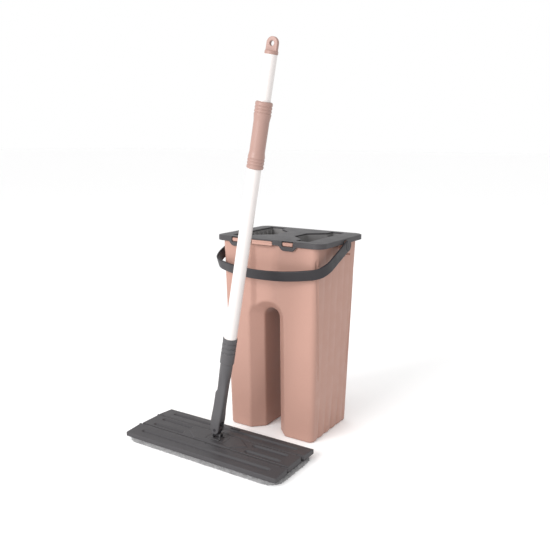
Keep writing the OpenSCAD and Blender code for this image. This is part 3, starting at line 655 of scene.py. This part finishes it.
def collar_profile():
    edge = [(COLLAR_R, COLLAR_LOW + 0.8), (COLLAR_R, 148.2)]
    for k in range(3):
        s = 150 + 8.5 * k
        edge += [(12.35, s - 1.3), (11.5, s - 0.6), (11.5, s + 0.6), (12.35, s + 1.3), (COLLAR_R, s + 1.8)]
    edge += [(COLLAR_R, COLLAR_TOP - 1)]
    low = [(LOWER_R + 0.05, COLLAR_LOW), (COLLAR_R - 0.5, COLLAR_LOW)]
    high = [(COLLAR_R - 0.5, COLLAR_TOP), (LOWER_R + 0.05, COLLAR_TOP)]
    return rounded(low + edge + high, 0.7, 4)


def grip_rings(places):
    """Points of a shallow ring cut at each place along the grip."""
    points = []
    for s in places:
        points += [(GRIP_END_R, s - 1.2), (12.95, s - 0.45), (12.95, s + 0.45), (GRIP_END_R, s + 1.2)]
    return points


def grip_profile():
    inside, wide = LOWER_R + 0.05, UPPER_R + 0.3
    out = [(inside, GRIP_LOW), (12.7, GRIP_LOW), (GRIP_END_R, GRIP_LOW + 1.5)]
    out += grip_rings([GRIP_LOW + 6 + 5 * k for k in range(3)])
    out += [(GRIP_END_R, GRIP_LOW + 18), (GRIP_WAIST_R, GRIP_LOW + 26)]
    out += [(GRIP_WAIST_R, GRIP_TOP - 30), (GRIP_END_R, GRIP_TOP - 20)]
    out += grip_rings([GRIP_TOP - 7 - 5 * k for k in (2, 1, 0)])
    out += [(GRIP_END_R, GRIP_TOP - 2), (12.25, GRIP_TOP), (wide, GRIP_TOP)]
    out += [(wide, LOWER_TOP), (inside, LOWER_TOP)]
    return rounded(out, 1.2, 4)


def tube(radius, low, high):
    """A thin tube with softened ends."""
    inner = radius - 0.6
    return lathe(rounded([(inner, low), (radius, low), (radius, high), (inner, high)], 0.25, 3), 128)


def cap(x, y, s):
    plug = meet(np.hypot(x, y) - 9.25, between(s, UPPER_TOP - 20, UPPER_TOP + 2), 0.5)
    flange = meet(np.hypot(x, y) - 10.5, between(s, UPPER_TOP, UPPER_TOP + 5), 1.0)
    root = np.maximum(np.abs(x) - CAP_R, UPPER_TOP + 4 - s)
    tab = np.where(s > CAP_EYE, np.hypot(x, s - CAP_EYE) - CAP_R, root)
    tab = meet(tab, np.abs(y) - 3, 1.3)
    solid = join(np.minimum(plug, flange), tab, 1.5)
    return meet(solid, CAP_EYE_R - np.hypot(x, s - CAP_EYE), 0.8)


piece("pole_fork", [skin(socket, (-12.5, -11.5, -8), (11.5, 11.5, 129), 0.6)],
      ALONG_POLE, "handle", SOCKET, ["pole_socket"])
piece("pole_collar", [lathe(collar_profile())],
      ALONG_POLE, "handle", SOCKET, ["socket_collar"])
piece("pole_tube_low", [tube(LOWER_R, COLLAR_LOW + 0.5, LOWER_TOP)],
      ALONG_POLE, "handle", WHITE_PAINTED_BOUNCE, ["lower_tube"])
piece("pole_grip", [lathe(grip_profile(), 128)], ALONG_POLE, "handle", GRIP, ["hand_grip"])
piece("pole_tube_top", [tube(UPPER_R, UPPER_LOW, UPPER_TOP)],
      ALONG_POLE, "upper_pole", WHITE_PAINTED_BOUNCE, ["upper_tube"])
piece("pole_cap", [skin(cap, (-10.5, -10.5, 622), (10.5, 10.5, 668), 0.6)],
      ALONG_POLE, "upper_pole", GRIP, ["hanging_cap"])


# ---------------------------------------------------------------- stage, light and camera

def area(name, place, target, size, power, colour=(1, 1, 1)):
    data = bpy.data.lights.new(name, "AREA")
    data.shape = "RECTANGLE"
    data.size, data.size_y = size
    data.energy = power
    data.color = colour
    obj = bpy.data.objects.new(name, data)
    obj.location = place
    obj.rotation_euler = (Vector(target) - Vector(place)).to_track_quat("-Z", "Y").to_euler()
    bpy.context.scene.collection.objects.link(obj)


floor_mesh = bpy.data.meshes.new("floor")
floor_mesh.from_pydata([(-30, -30, 0), (30, -30, 0), (30, 30, 0), (-30, 30, 0)], [], [(0, 1, 2, 3)])
floor_mesh.materials.append(finish("floor", (0.99, 0.99, 0.99), 0.8, vary=0.0, grain=60, grain_depth=0.0,
                                   wear=0.0, specular=0.1))
floor = bpy.data.objects.new("floor", floor_mesh)
bpy.context.scene.collection.objects.link(floor)

world = bpy.data.worlds.new("studio")
world.use_nodes = True
world.node_tree.nodes["Background"].inputs["Color"].default_value = (1, 1, 1, 1)
world.node_tree.nodes["Background"].inputs["Strength"].default_value = 1.0
bpy.context.scene.world = world
area("key", (-0.55, -2.25, 1.3), (0.03, 0, 0.2), (1.4, 1.4), 57)
bpy.context.scene.view_settings.view_transform = "Standard"

camera = bpy.data.objects.new("camera", bpy.data.cameras.new("camera"))
camera.data.lens = 43.53
camera.data.sensor_width = 36
camera.data.clip_end = 50
turn, drop, roll = (math.radians(a) for a in (32.32, 78.5, 0.27))
camera.matrix_world = (Matrix.Translation((0.67916, -0.98021, 0.54396)) @ Matrix.Rotation(turn, 4, "Z")
                       @ Matrix.Rotation(drop, 4, "X") @ Matrix.Rotation(roll, 4, "Z"))
bpy.context.scene.collection.objects.link(camera)
bpy.context.scene.camera = camera
